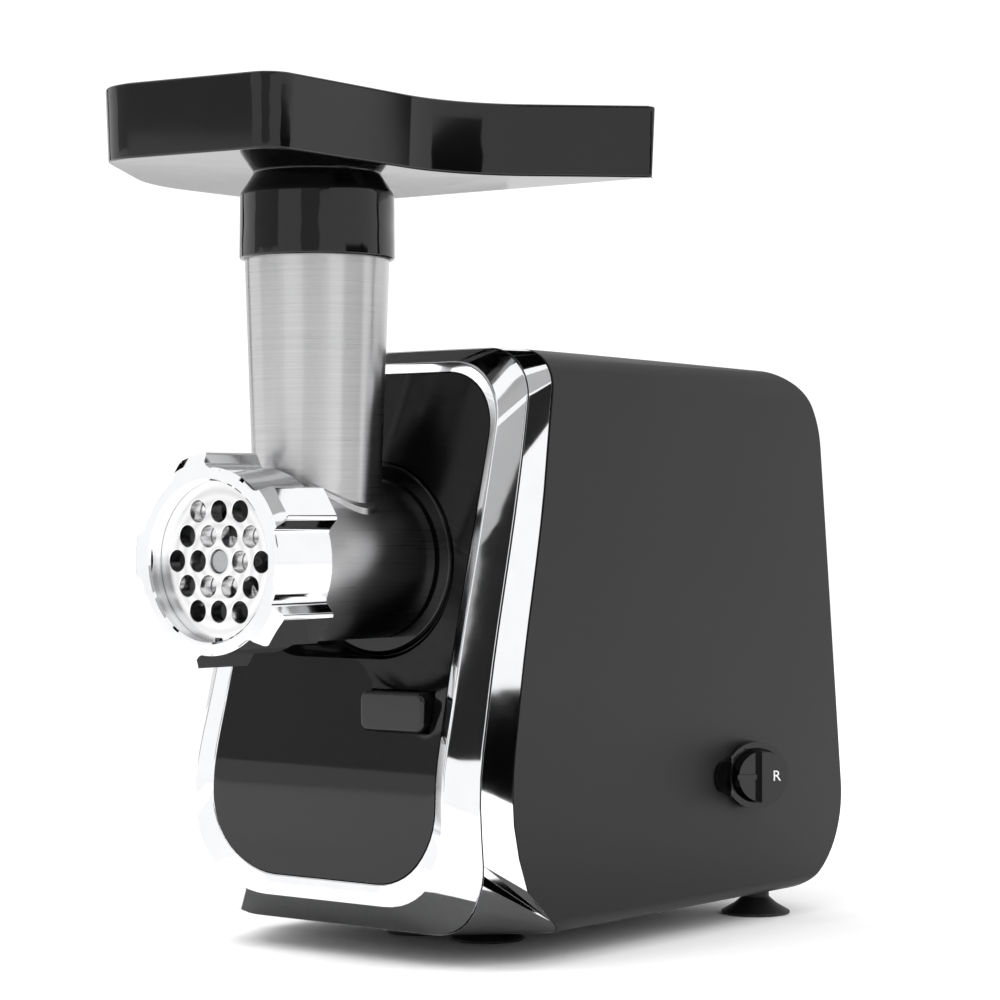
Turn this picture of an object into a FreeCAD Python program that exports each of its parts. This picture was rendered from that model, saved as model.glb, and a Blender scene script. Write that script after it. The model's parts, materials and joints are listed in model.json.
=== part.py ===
"""Electric meat grinder: motor housing, gear train, screw head, ring nut and food tray.

Millimetres. +Z is up, the screw runs along Y and its mouth points to -Y. The origin is on the
table under the middle of the body, in the plane of symmetry that holds the screw's axis.
"""
import FreeCAD, Part
import math
import os

V = FreeCAD.Vector
os.makedirs("parts", exist_ok=True)

# ---- driving dimensions ------------------------------------------------------------------
AXIS_Z = 133.6            # height of the screw's axis
FEED_Y = -115.0           # the feed tube stands here on the barrel

# screw head, a size 5 mincer
PLATE_R = 26.5
PLATE_FRONT = -162.3
PLATE_T = 5.0
PLATE_HOLE_R = 3.5
PLATE_PITCH = 9.3
PIN_R = 3.83              # front journal of the screw
PIN_HOLE_R = 3.9
RING_FRONT = -167.5
RING_REAR = -141.5
RING_R = 30.2
RING_LUG_R = 35.0
RING_BORE_R = 28.28
RING_OPENING_R = 25.9
RING_LUGS = 5
RING_LUG_PHASE = 105.0
MOUTH_FRONT = -160.0
MOUTH_R = 28.2
BARREL_R = 27.2
BARREL_BORE_R = 23.6
BARREL_BORE_REAR = -88.5
SPIGOT_R = 20.0           # rear end of the barrel, held in the socket
SPIGOT_BORE_R = 17.8
BARREL_REAR = -64.0
FLIGHT_R = 23.0
FLIGHT_REACH = 54.5       # length of the screw's flight
FEED_TOP_Z = 250.0
FEED_TOP_R = 24.05
FEED_FOOT_R = 21.3
FEED_WALL = 2.0

# food tray
TRAY_BOTTOM_Z = 262.5
TRAY_TOP_Z = 286.5
TRAY_WALL = 2.0
TRAY_DRAFT = 1.0
SKIRT_R = 25.95
SKIRT_BOTTOM_Z = 233.6
SKIRT_TOP_Z = 255.3
THROAT_R = 18.5

# body
BODY_BOTTOM_Z = 10.0
BODY_TOP_FRONT_Z = 204.2
BODY_TOP_REAR_Z = 201.5
BODY_HALF_LOW = 69.5
BODY_HALF_HIGH = 64.3
BODY_WALL = 2.8
BODY_REAR_LOW = 108.6
BODY_REAR_HIGH = 95.0
PANEL_T = 3.0             # fascia thickness
GAP = 0.35                # shadow gap between trim pieces

# socket for the head
SOCKET_FACE = -85.0
SOCKET_R = 33.0
RECESS_FLARE = 0.85       # sideways widening of the recess per millimetre towards the front

# release button
BUTTON_X = 30.0
BUTTON_Z = 84.0
BUTTON_HALF_W = 13.5
BUTTON_HALF_H = 6.5
BUTTON_FRONT = -112.5
BUSH_R = 11.0
LOCK_RADIUS = 21.3        # the lock pin's distance from the screw's axis

# gear train
OUT_MODULE = 1.5
OUT_TEETH = 40
IDLER_PINION_TEETH = 10
IN_MODULE = 1.0
IDLER_TEETH = 45
MOTOR_PINION_TEETH = 9
IDLER_Z = AXIS_Z - OUT_MODULE * (OUT_TEETH + IDLER_PINION_TEETH) / 2
ROTOR_Z = IDLER_Z - IN_MODULE * (IDLER_TEETH + MOTOR_PINION_TEETH) / 2
HEX_AF = 11.0             # drive tail of the screw, across flats

# switch knob on the right-hand side, turned a little towards the front
KNOB_X = 75.0             # middle of the bezel's face
KNOB_Y = 37.9
KNOB_Z = 54.9
KNOB_TILT = 35.0
BEZEL_R = 12.0
LOBE_R = 5.8
LOBE_Y = 25.8

# suction feet
FOOT_R = 12.8
REAR_FOOT = (52.0, 72.0)
FRONT_FOOT = (15.0, -42.0)
BASE_Z = 12.9
BASE_T = 3.0

CORNER_STEPS = 12
SIDE_STEPS = 16


# ---- shape helpers -----------------------------------------------------------------------
def box(x0, x1, y0, y1, z0, z1):
    return Part.makeBox(x1 - x0, y1 - y0, z1 - z0, V(x0, y0, z0))


def rod(radius, y0, y1, x=0.0, z=AXIS_Z):
    """Cylinder along Y."""
    return Part.makeCylinder(radius, y1 - y0, V(x, y0, z), V(0, 1, 0))


def tube(outer, inner, y0, y1, x=0.0, z=AXIS_Z):
    return rod(outer, y0, y1, x, z).cut(rod(inner, y0 - 1, y1 + 1, x, z))


def peg(radius, x0, x1, y, z):
    """Cylinder along X."""
    return Part.makeCylinder(radius, x1 - x0, V(x0, y, z), V(1, 0, 0))


def post(radius, z0, z1, x, y):
    """Cylinder along Z."""
    return Part.makeCylinder(radius, z1 - z0, V(x, y, z0), V(0, 0, 1))


def turned(points, z=AXIS_Z, x=0.0):
    """Solid turned about a line along Y from (radius, y) points."""
    ring = [V(x + r, y, z) for r, y in points]
    face = Part.Face(Part.makePolygon(ring + ring[:1]))
    return face.revolve(V(x, 0, z), V(0, 1, 0), 360)


def turned_upright(points, x, y):
    """Solid turned about a line along Z from (radius, z) points."""
    ring = [V(x + r, y, z) for r, z in points]
    face = Part.Face(Part.makePolygon(ring + ring[:1]))
    return face.revolve(V(x, y, 0), V(0, 0, 1), 360)


def joined(shapes):
    first = shapes[0]
    return first.fuse(list(shapes[1:])).removeSplitter() if len(shapes) > 1 else first


def inset_corners(corners, inset):
    """Move every side of a polygon inwards, counter-clockwise corners (u, v, radius)."""
    moved = []
    count = len(corners)
    for i in range(count):
        u, v, radius = corners[i]
        back = corners[i - 1]
        ahead = corners[(i + 1) % count]
        in_dir = (u - back[0], v - back[1])
        out_dir = (ahead[0] - u, ahead[1] - v)
        in_len = math.hypot(*in_dir)
        out_len = math.hypot(*out_dir)
        in_unit = (in_dir[0] / in_len, in_dir[1] / in_len)
        out_unit = (out_dir[0] / out_len, out_dir[1] / out_len)
        turn = in_unit[0] * out_unit[1] - in_unit[1] * out_unit[0]
        cosine = in_unit[0] * out_unit[0] + in_unit[1] * out_unit[1]
        slide = inset * (1 - cosine) / turn
        new_u = u - in_unit[1] * inset - in_unit[0] * slide
        new_v = v + in_unit[0] * inset - in_unit[1] * slide
        new_radius = 0 if radius == 0 else max(0.2, radius - math.copysign(inset, turn))
        moved.append((new_u, new_v, new_radius))
    return moved


def outline(corners, place):
    """Closed wire of straight sides and corner arcs; place maps (u, v) to a point."""
    stops = []
    count = len(corners)
    for i in range(count):
        u, v, radius = corners[i]
        back = corners[i - 1]
        ahead = corners[(i + 1) % count]
        to_back = V(back[0] - u, back[1] - v, 0).normalize()
        to_ahead = V(ahead[0] - u, ahead[1] - v, 0).normalize()
        corner = V(u, v, 0)
        if radius == 0:
            stops.append((corner, None, corner))
            continue
        half = to_back.getAngle(to_ahead) / 2
        setback = radius / math.tan(half)
        middle = (to_back + to_ahead).normalize()
        centre = corner + middle * (radius / math.sin(half))
        start = corner + to_back * setback
        end = corner + to_ahead * setback
        stops.append((start, centre - middle * radius, end))
    edges = []
    for i in range(count):
        start, middle, end = stops[i]
        if middle is not None:
            ends = [place(p.x, p.y) for p in (start, middle, end)]
            edges.append(Part.Arc(*ends).toShape())
        following = stops[(i + 1) % count][0]
        if end.distanceToPoint(following) > 1e-6:
            edges.append(Part.makeLine(place(end.x, end.y), place(following.x, following.y)))
    return Part.Wire(edges)


def on_front(y):
    return lambda u, v: V(u, y, v)


def on_side(x):
    return lambda u, v: V(x, u, v)


def on_plan(z):
    return lambda u, v: V(u, v, z)


def prism(corners, place, along):
    return Part.Face(outline(corners, place)).extrude(along)


def skin(rings, closed):
    """Solid through equal rings of points, with flat ends unless the run closes on itself."""
    faces = []
    count = len(rings)
    last = count if closed else count - 1
    for i in range(last):
        here = rings[i]
        there = rings[(i + 1) % count]
        for j in range(len(here)):
            k = (j + 1) % len(here)
            for corner_set in ((here[j], here[k], there[k]), (here[j], there[k], there[j])):
                faces.append(Part.Face(Part.makePolygon(list(corner_set) + [corner_set[0]])))
    if not closed:
        for ring in (rings[0], rings[-1]):
            for j in range(1, len(ring) - 1):
                fan = [ring[0], ring[j], ring[j + 1], ring[0]]
                faces.append(Part.Face(Part.makePolygon(fan)))
    shell = Part.makeShell(faces)
    shell.sewShape()
    solid = Part.makeSolid(shell)
    if solid.Volume < 0:
        solid.reverse()
    return solid


def smooth_curve(points):
    """y as a smooth function of z through (z, y) points, without overshoot."""
    steps = [(b[1] - a[1]) / (b[0] - a[0]) for a, b in zip(points, points[1:])]
    slopes = [steps[0]]
    for before, after in zip(steps, steps[1:]):
        slopes.append(0.0 if before * after <= 0 else 2 * before * after / (before + after))
    slopes.append(steps[-1])

    def y_at(z):
        z = min(max(z, points[0][0]), points[-1][0])
        i = 0
        while i < len(points) - 2 and z > points[i + 1][0]:
            i += 1
        z0, y0 = points[i]
        z1, y1 = points[i + 1]
        width = z1 - z0
        t = (z - z0) / width
        rise = (1 + 2 * t) * (1 - t) ** 2 * y0 + t * t * (3 - 2 * t) * y1
        bend = t * (1 - t) ** 2 * slopes[i] - t * t * (1 - t) * slopes[i + 1]
        return rise + width * bend

    return y_at


def polar(x, z, radius, degrees, y):
    angle = math.radians(degrees)
    return V(x + radius * math.cos(angle), y, z + radius * math.sin(angle))


def gear(module, teeth, y0, y1, z, tooth_at, addendum, backlash=0.22):
    """Spur gear along Y on the plane of symmetry, with a tooth centred on the angle tooth_at."""
    pitch_r = module * teeth / 2
    base_r = pitch_r * math.cos(math.radians(20))
    tip_r = pitch_r + addendum * module
    root_r = pitch_r - 1.3 * module
    pressure = math.radians(20)
    half_pitch = math.pi / (2 * teeth) - backlash / (2 * pitch_r)
    inv_pitch = math.tan(pressure) - pressure
    flank = []
    for step in range(6):
        radius = max(base_r, root_r) + (tip_r - max(base_r, root_r)) * step / 5
        roll = math.acos(min(1.0, base_r / radius))
        flank.append((radius, half_pitch + inv_pitch - (math.tan(roll) - roll)))
    flank.insert(0, (root_r, flank[0][1] * 0.92))
    ring = []
    for tooth in range(teeth):
        centre = math.radians(tooth_at) + 2 * math.pi * tooth / teeth
        sides = [(r, centre - a) for r, a in flank] + [(r, centre + a) for r, a in flank[::-1]]
        for radius, angle in sides:
            ring.append(V(radius * math.cos(angle), y0, z + radius * math.sin(angle)))
    face = Part.Face(Part.makePolygon(ring + ring[:1]))
    return face.extrude(V(0, y1 - y0, 0))


def hexagon(across_flats, y0, y1):
    ring = [polar(0, AXIS_Z, across_flats / math.sqrt(3), 60 * i, y0) for i in range(7)]
    return Part.Face(Part.makePolygon(ring)).extrude(V(0, y1 - y0, 0))


def export(name, shape):
    solids = shape.Solids
    result = solids[0] if len(solids) == 1 else Part.makeCompound(solids)
    result.exportStep("parts/" + name + ".step")
    print(name, len(solids), "valid" if result.isValid() else "INVALID", round(result.Volume))


# ---- body outlines -----------------------------------------------------------------------
FASCIA_CURVE = smooth_curve([(20, -110.2), (40, -113.2), (55, -113.2), (88, -106.6),
                             (153, -88.0), (173, -82.2), (205, -74.0)])
CREST_CURVE = smooth_curve([(19.7, -112.0), (35, -116.2), (55, -116.6), (88, -109.4),
                            (153, -90.8), (173, -85.3), (200.3, -78.4)])
BEVEL_CURVE = smooth_curve([(10.4, -102.3), (25, -106.3), (55, -107.7), (88, -101.6),
                            (153, -84.0), (173, -79.2), (205, -72.5)])
PANEL_CURVE = smooth_curve([(9, -70.0), (11.6, -72.5), (23.3, -87.1), (30, -91.3),
                            (55, -96.0), (88, -91.0), (153, -76.0), (173, -72.6), (206, -67.0)])
FASCIA_LINE = dict(half_low=49.4, half_high=46.6, z_low=26.8, z_high=196.8, r_low=27, r_high=22)
CREST_LINE = dict(half_low=55.2, half_high=51.4, z_low=19.7, z_high=200.3, r_low=29, r_high=23)
BEVEL_LINE = dict(half_low=64.6, half_high=59.2, z_low=10.4, z_high=204.9, r_low=25, r_high=20)
PANEL_LINE = dict(half_low=69.5, half_high=64.3, z_low=10.0, z_high=204.2, r_low=5, r_high=15)


def front_line(line, curve, inset=0.0, back=0.0):
    """Closed line round the front: a rounded rectangle in front view, set back by height."""
    half_low = line["half_low"] - inset
    half_high = line["half_high"] - inset
    z_low = line["z_low"] + inset
    z_high = line["z_high"] - inset
    r_low = max(1.0, line["r_low"] - inset)
    r_high = max(1.0, line["r_high"] - inset)
    right = []
    for i in range(CORNER_STEPS + 1):
        angle = math.radians(-90 + 90 * i / CORNER_STEPS)
        right.append((half_low - r_low + r_low * math.cos(angle),
                      z_low + r_low + r_low * math.sin(angle)))
    for i in range(1, SIDE_STEPS):
        share = i / SIDE_STEPS
        right.append((half_low + (half_high - half_low) * share,
                      z_low + r_low + (z_high - r_high - z_low - r_low) * share))
    for i in range(CORNER_STEPS + 1):
        angle = math.radians(90 * i / CORNER_STEPS)
        right.append((half_high - r_high + r_high * math.cos(angle),
                      z_high - r_high + r_high * math.sin(angle)))
    left = [(-x, z) for x, z in reversed(right)]
    return [V(x, curve(z) + back, z) for x, z in right + left]


def body_outline(inset):
    """Front view of the body."""
    corners = [(-BODY_HALF_LOW, BODY_BOTTOM_Z, 5), (BODY_HALF_LOW, BODY_BOTTOM_Z, 5),
               (BODY_HALF_HIGH, BODY_TOP_FRONT_Z, 15), (-BODY_HALF_HIGH, BODY_TOP_FRONT_Z, 15)]
    return prism(inset_corners(corners, inset), on_front(-140), V(0, 280, 0))


def body_profile(inset):
    """Side view of the body, square at the front."""
    corners = [(-140, BODY_BOTTOM_Z, 0), (BODY_REAR_LOW, BODY_BOTTOM_Z, 35),
               (BODY_REAR_HIGH, BODY_TOP_REAR_Z, 30), (-140, BODY_TOP_FRONT_Z + 1.2, 0)]
    return prism(inset_corners(corners, inset), on_side(-90), V(180, 0, 0))


def region_behind(curve, rear, z_low, z_high, back=0.0):
    """Everything between a side-view curve and a plane behind it."""
    heights = [z_low + (z_high - z_low) * i / 24 for i in range(25)]
    points = [V(-90, curve(z) + back, z) for z in heights]
    spline = Part.BSplineCurve()
    spline.interpolate(points)
    far = [points[-1], V(-90, rear, z_high), V(-90, rear, z_low), points[0]]
    edges = [spline.toShape()] + list(Part.makePolygon(far).Edges)
    return Part.Face(Part.Wire(edges)).extrude(V(180, 0, 0))


BODY_SOLID = body_outline(0).common(body_profile(0))
BODY_SOLID = BODY_SOLID.common(region_behind(PANEL_CURVE, 140, 9, 206))


# ---- housing and trim --------------------------------------------------------------------
def main_housing():
    cavity = body_outline(BODY_WALL).common(body_profile(BODY_WALL))
    shell = BODY_SOLID.cut(cavity)
    cuts = [box(-50, 50, -100, 60, 5, 14)]
    cuts.append(toward_user(peg(5.0, -20, 4, 0, 0)))
    cuts.append(rod(6.6, 90, 115, GLAND_X, GLAND_Z))
    for row in range(8):
        z = 92 + 8 * row
        cuts.append(box(-30, 30, 85, 115, z, z + 3))
    for x, y in BASE_SCREWS:
        cuts.append(post(1.7, 9, 14, x, y))
        cuts.append(post(3.1, 9, 11.5, x, y))
    cuts += [post(3.6, 9, 14, x, y) for x, y in FEET[2:]]
    return shell.cut(cuts)


def chrome_frame():
    lines = [front_line(FASCIA_LINE, FASCIA_CURVE),
             front_line(CREST_LINE, CREST_CURVE),
             front_line(BEVEL_LINE, BEVEL_CURVE),
             front_line(BEVEL_LINE, BEVEL_CURVE, 2.6, 1.8),
             front_line(FASCIA_LINE, FASCIA_CURVE, 0, PANEL_T + 0.4)]
    return skin([list(ring) for ring in zip(*lines)], True)


def chrome_side_band():
    lines = [front_line(BEVEL_LINE, BEVEL_CURVE, 0, GAP),
             front_line(PANEL_LINE, PANEL_CURVE, 0, -0.7),
             front_line(PANEL_LINE, PANEL_CURVE, 2.4, -0.7),
             front_line(BEVEL_LINE, BEVEL_CURVE, 2.6, 1.8 + GAP)]
    return skin([list(ring) for ring in zip(*lines)], True)


def front_fascia():
    edge = [V(p.x, -140, p.z) for p in front_line(FASCIA_LINE, FASCIA_CURVE, 0.15)]
    front_view = Part.Face(Part.makePolygon(edge + edge[:1])).extrude(V(0, 100, 0))
    behind = region_behind(FASCIA_CURVE, -60, 22, 204)
    slab = behind.cut(region_behind(FASCIA_CURVE, -50, 22, 204, PANEL_T))
    panel = slab.common(front_view)
    wall = recess(SOCKET_R + 4.2).common(behind).common(front_view)
    window = box(BUTTON_X - BUTTON_HALF_W - 0.4, BUTTON_X + BUTTON_HALF_W + 0.4, -130, -90,
                 BUTTON_Z - BUTTON_HALF_H - 0.4, BUTTON_Z + BUTTON_HALF_H + 0.4)
    return panel.fuse(wall).cut([recess(SOCKET_R + 0.3), window])


def recess(radius):
    """Space round the socket: a round floor that widens sideways towards the front."""
    start = SOCKET_FACE + 1
    reach = 40
    ends = []
    for y, half_w in ((start, radius), (start - reach, radius + RECESS_FLARE * reach)):
        low, high = AXIS_Z - radius, AXIS_Z + radius
        corners = [(-half_w, low, radius - 0.3), (half_w, low, radius - 0.3),
                   (half_w, high, radius - 0.3), (-half_w, high, radius - 0.3)]
        ends.append(outline(corners, on_front(y)))
    return Part.makeLoft(ends, True, True).fuse(rod(radius, start - 0.5, start + 5))


def socket_collar():
    return turned([(20.7, SOCKET_FACE + 5), (20.7, SOCKET_FACE + 0.8), (21.5, SOCKET_FACE),
                   (SOCKET_R - 1, SOCKET_FACE), (SOCKET_R, SOCKET_FACE + 1),
                   (SOCKET_R, SOCKET_FACE + 5)])


def head_socket():
    shape = tube(24.5, SPIGOT_R + 0.3, SOCKET_FACE + 5, -54).fuse(tube(33, 20.3, -57, -54))
    slot = box(18, 26, -75, -57.5, -4.5, 4.5)
    return shape.cut(toward_button(slot))


def toward_button(shape):
    """Turn a shape made along +X about the origin into the line from the axis to the button."""
    angle = math.degrees(math.atan2(BUTTON_Z - AXIS_Z, BUTTON_X))
    turned_shape = shape.copy()
    turned_shape.rotate(V(0, 0, 0), V(0, 1, 0), -angle)
    turned_shape.translate(V(0, 0, AXIS_Z))
    return turned_shape


def base_plate():
    plate = prism([(-62, -69.8, 6), (62, -69.8, 6), (62, 66, 10), (-62, 66, 10)],
                  on_plan(BASE_Z), V(0, 0, BASE_T))
    top = BASE_Z + BASE_T
    ribs = [box(side * 27 - 3, side * 27 + 3, -46, -18, top - 0.5, 55) for side in (-1, 1)]
    ribs.append(box(-10, 10, 55, 66, top - 0.5, 20))
    plate = joined([plate] + ribs)
    cuts = [post(3.6, 9, 20, x, y) for x, y in FEET[:2]]
    cuts += [post(1.5, 9, 20, x, y) for x, y in BASE_SCREWS]
    cuts += [box(-20, 20, y, y + 3.2, 9, 20) for y in range(-4, 46, 8)]
    return plate.cut(cuts)


def foot(x, y, seat_z, seat_t):
    """Suction foot, pulled through a hole in a wall seat_t thick whose underside is at seat_z."""
    barb_z = seat_z + seat_t
    return turned_upright([(0, 2.2), (8.5, 1.4), (10.6, 0), (FOOT_R, 0), (FOOT_R, 0.9),
                           (8.0, 3.6), (5.0, 6.2), (5.0, seat_z), (3.5, seat_z),
                           (3.5, barb_z), (5.4, barb_z), (3.4, barb_z + 4),
                           (0, barb_z + 4)], x, y)


FEET = [(side * x, y) for x, y in (FRONT_FOOT, REAR_FOOT) for side in (-1, 1)]
FOOT_NAMES = ["foot_front_left", "foot_front_right", "foot_rear_left", "foot_rear_right"]
BASE_SCREWS = [(side * 57, y) for side in (-1, 1) for y in (-60, 0, 55)]
GLAND_X = -30.0
GLAND_Z = 60.0


def screw_up(x, y):
    """Base screw from below, its head let into the housing's ledge."""
    return post(3.0, 10.0, 11.4, x, y).fuse(post(1.5, 11.4, BASE_Z + BASE_T + 4, x, y))


# ---- screw head --------------------------------------------------------------------------
def head_casting():
    shoulder = SOCKET_FACE - 0.3
    outside = turned([(0, MOUTH_FRONT), (MOUTH_R, MOUTH_FRONT), (MOUTH_R, -143.5),
                      (BARREL_R, -141.5), (BARREL_R, shoulder - 1), (BARREL_R - 1, shoulder),
                      (SPIGOT_R, shoulder), (SPIGOT_R, BARREL_REAR), (0, BARREL_REAR)])
    feed = turned_upright([(0, AXIS_Z), (FEED_FOOT_R, AXIS_Z),
                           (FEED_FOOT_R, AXIS_Z + 20), (FEED_TOP_R, SKIRT_BOTTOM_Z - 2),
                           (FEED_TOP_R, FEED_TOP_Z), (0, FEED_TOP_Z)], 0, FEED_Y)
    weld = post(FEED_FOOT_R + 1.4, AXIS_Z, AXIS_Z + BARREL_R + 5, 0, FEED_Y).common(
        rod(BARREL_R + 1.2, -145, -90))
    outside = outside.fuse(feed).fuse(weld)
    bore = rod(BARREL_BORE_R, -149, BARREL_BORE_REAR)
    spigot_bore = rod(SPIGOT_BORE_R, BARREL_BORE_REAR - 1, -74)
    chamber = rod(24.6, -157.3, -149)
    seat = rod(PLATE_R + 0.1, MOUTH_FRONT - 1, PLATE_FRONT + PLATE_T)
    inner_foot_r = FEED_FOOT_R - FEED_WALL - 0.5
    down = turned_upright([(0, AXIS_Z), (inner_foot_r, AXIS_Z), (inner_foot_r, AXIS_Z + 20),
                           (FEED_TOP_R - FEED_WALL, SKIRT_BOTTOM_Z),
                           (FEED_TOP_R - FEED_WALL, FEED_TOP_Z + 1), (0, FEED_TOP_Z + 1)],
                          0, FEED_Y)
    rear_hole = rod(BUSH_R, -75, BARREL_REAR + 1)
    lock_groove = toward_button(rod(2.2, -73, -63, LOCK_RADIUS, 0))
    key_hole = post(1.2, AXIS_Z - MOUTH_R - 1, AXIS_Z - 24, 0, -158.6)
    for tool in (down, bore, spigot_bore, chamber, seat, rear_hole, lock_groove, key_hole):
        outside = outside.cut(tool)
    return outside


def plate_key():
    """Small pin through the mouth that keeps the plate from turning."""
    return post(1.2, AXIS_Z - MOUTH_R + 0.1, AXIS_Z - 25.1, 0, -158.6)


def screw_bush():
    return tube(BUSH_R, 8.0, -73.9, BARREL_REAR)


def grinding_plate():
    disc = turned([(0, PLATE_FRONT), (PLATE_R - 0.4, PLATE_FRONT), (PLATE_R, PLATE_FRONT + 0.4),
                   (PLATE_R, PLATE_FRONT + PLATE_T), (0, PLATE_FRONT + PLATE_T)])
    row_step = PLATE_PITCH * math.sqrt(3) / 2
    holes = []
    for row, count in enumerate((3, 4, 5, 4, 3)):
        z = AXIS_Z + (2 - row) * row_step
        for i in range(count):
            x = (i - (count - 1) / 2) * PLATE_PITCH
            radius = PIN_HOLE_R if row == 2 and i == 2 else PLATE_HOLE_R
            holes.append(rod(radius, PLATE_FRONT - 1, PLATE_FRONT + PLATE_T + 1, x, z))
    notch = box(-1.6, 1.6, PLATE_FRONT - 1, -156, AXIS_Z - PLATE_R - 1, AXIS_Z - 24.7)
    return disc.cut(holes + [notch])


def cutting_blade():
    """Four-armed knife, flat against the plate, on the square of the screw."""
    front = -157.15
    rear = -151.0
    arms = [turned([(0, front), (8.2, front), (8.2, rear), (0, rear)])]
    for i in range(4):
        ring = [V(3, front, -4.6), V(22.5, front, -4.4), V(23.4, front, -2), V(23.4, front, 1.4),
                V(3, front, 2.6)]
        arm = Part.Face(Part.makePolygon(ring + ring[:1])).extrude(V(0, rear - front, 0))
        slope = Part.Face(Part.makePolygon([V(0, rear + 0.1, -6), V(0, rear + 0.1, 1.5),
                                            V(0, front + 1.4, -6), V(0, rear + 0.1, -6)]))
        arm = arm.cut(slope.extrude(V(30, 0, 0)))
        arm.rotate(V(0, 0, 0), V(0, 1, 0), 45 + 90 * i)
        arm.translate(V(0, 0, AXIS_Z))
        arms.append(arm)
    blade = joined(arms)
    return blade.cut(box(-4.55, 4.55, front - 1, rear + 1, AXIS_Z - 4.55, AXIS_Z + 4.55))


def feed_screw():
    core = turned([(0, -161.6), (PIN_R - 0.5, -161.6), (PIN_R, -161.1), (PIN_R, -157.2),
                   (0, -157.2)])
    square = box(-4.5, 4.5, -157.2, -149.5, AXIS_Z - 4.5, AXIS_Z + 4.5)
    barrel = turned([(0, -149.6), (8.4, -149.6), (11.6, -88), (16.8, -83), (16.8, -76.2),
                     (7.93, -76.2), (7.93, -63.2), (0, -63.2)])
    tail = hexagon(HEX_AF, -63.3, -49.5)
    stations = 60
    rings = []
    for i in range(stations + 1):
        share = i / stations
        y = -149.6 + FLIGHT_REACH * (1.12 * share - 0.12 * share * share)
        degrees = 1080 * share
        inner_r = 7.0 + 2.4 * share
        rim = 1.1 + 0.5 * share
        root = 2.2 + 0.6 * share
        section = ((inner_r, y), (FLIGHT_R, y + root - rim), (FLIGHT_R, y + root + rim),
                   (inner_r, y + 2 * root))
        rings.append([polar(0, AXIS_Z, r, degrees, yy) for r, yy in section])
    flight = skin(rings, False)
    return core.fuse([square, barrel, tail]).fuse(flight)


def screw_washer():
    return tube(15.5, 8.1, -76.1, -74.2)


def ring_nut():
    outer = turned([(0, RING_FRONT), (RING_R - 0.9, RING_FRONT), (RING_R, RING_FRONT + 0.9),
                    (RING_R, RING_REAR), (0, RING_REAR)])
    lugs = []
    corners = [(-12.5, 24, 0), (12.5, 24, 0), (12.5, 27.3, 0), (7.4, 29.2, 3.0),
               (6.2, RING_LUG_R, 1.6), (-6.2, RING_LUG_R, 1.6), (-7.4, 29.2, 3.0),
               (-12.5, 27.3, 0)]
    for i in range(RING_LUGS):
        lug = prism(corners, on_front(RING_FRONT), V(0, RING_REAR - RING_FRONT, 0))
        lug.rotate(V(0, 0, 0), V(0, 1, 0), 90 - RING_LUG_PHASE - 360 / RING_LUGS * i)
        lug.translate(V(0, 0, AXIS_Z))
        lugs.append(lug)
    nose = turned([(0, RING_FRONT), (32.0, RING_FRONT), (RING_LUG_R + 0.6, RING_FRONT + 3.2),
                   (RING_LUG_R + 0.6, RING_REAR + 1), (0, RING_REAR + 1)])
    body = joined([outer] + lugs).common(nose)
    lip = RING_OPENING_R + 0.6
    inside = turned([(0, RING_FRONT - 1), (lip, RING_FRONT - 1), (lip, RING_FRONT),
                     (RING_OPENING_R, RING_FRONT + 0.6), (RING_OPENING_R, PLATE_FRONT - 0.12),
                     (RING_BORE_R, PLATE_FRONT - 0.12), (RING_BORE_R, RING_REAR + 1),
                     (0, RING_REAR + 1)])
    return body.cut(inside)


# ---- food tray ---------------------------------------------------------------------------
def tray_outline(inset):
    corners = [(-31.2, -70.5, 20), (36.6, -60.5, 11), (34.2, 31.9, 55), (86.5, 80.5, 2.4),
               (-69.5, 73.0, 38), (-70.8, -10.4, 60)]
    return [(u, v + FEED_Y, r) for u, v, r in inset_corners(corners, inset)]


def tray_block(inset_low, inset_high, z_low, z_high):
    low = outline(tray_outline(inset_low), on_plan(z_low))
    high = outline(tray_outline(inset_high), on_plan(z_high))
    return Part.makeLoft([low, high], True, True)


def food_tray():
    outer = tray_block(TRAY_DRAFT, 0, TRAY_BOTTOM_Z, TRAY_TOP_Z)
    inner = tray_block(TRAY_DRAFT + TRAY_WALL, TRAY_WALL, TRAY_BOTTOM_Z + TRAY_WALL,
                       TRAY_TOP_Z + 0.01)
    inner = inner.fuse(tray_block(TRAY_WALL, TRAY_WALL, TRAY_TOP_Z - 0.5, TRAY_TOP_Z + 5))
    neck = turned_upright([(0, SKIRT_BOTTOM_Z), (SKIRT_R, SKIRT_BOTTOM_Z),
                           (SKIRT_R - 0.2, SKIRT_TOP_Z), (THROAT_R + 2.2, TRAY_BOTTOM_Z + 0.5),
                           (0, TRAY_BOTTOM_Z + 0.5)], 0, FEED_Y)
    socket = post(FEED_TOP_R + 0.3, SKIRT_BOTTOM_Z - 1, FEED_TOP_Z + 0.3, 0, FEED_Y)
    throat = post(THROAT_R, FEED_TOP_Z - 1, TRAY_TOP_Z, 0, FEED_Y)
    return outer.cut(inner).fuse(neck).cut([socket, throat])


# ---- release button ----------------------------------------------------------------------
def release_button():
    corners = [(BUTTON_X - BUTTON_HALF_W, BUTTON_Z - BUTTON_HALF_H, 3),
               (BUTTON_X + BUTTON_HALF_W, BUTTON_Z - BUTTON_HALF_H, 3),
               (BUTTON_X + BUTTON_HALF_W, BUTTON_Z + BUTTON_HALF_H, 3),
               (BUTTON_X - BUTTON_HALF_W, BUTTON_Z + BUTTON_HALF_H, 3)]
    cap = prism(corners, on_front(BUTTON_FRONT), V(0, 9, 0))
    clear = rod(SOCKET_R + 3.0, -130, -60)
    return cap.cut(clear).fuse(rod(3.0, BUTTON_FRONT + 5, -63.4, BUTTON_X, BUTTON_Z))


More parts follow.
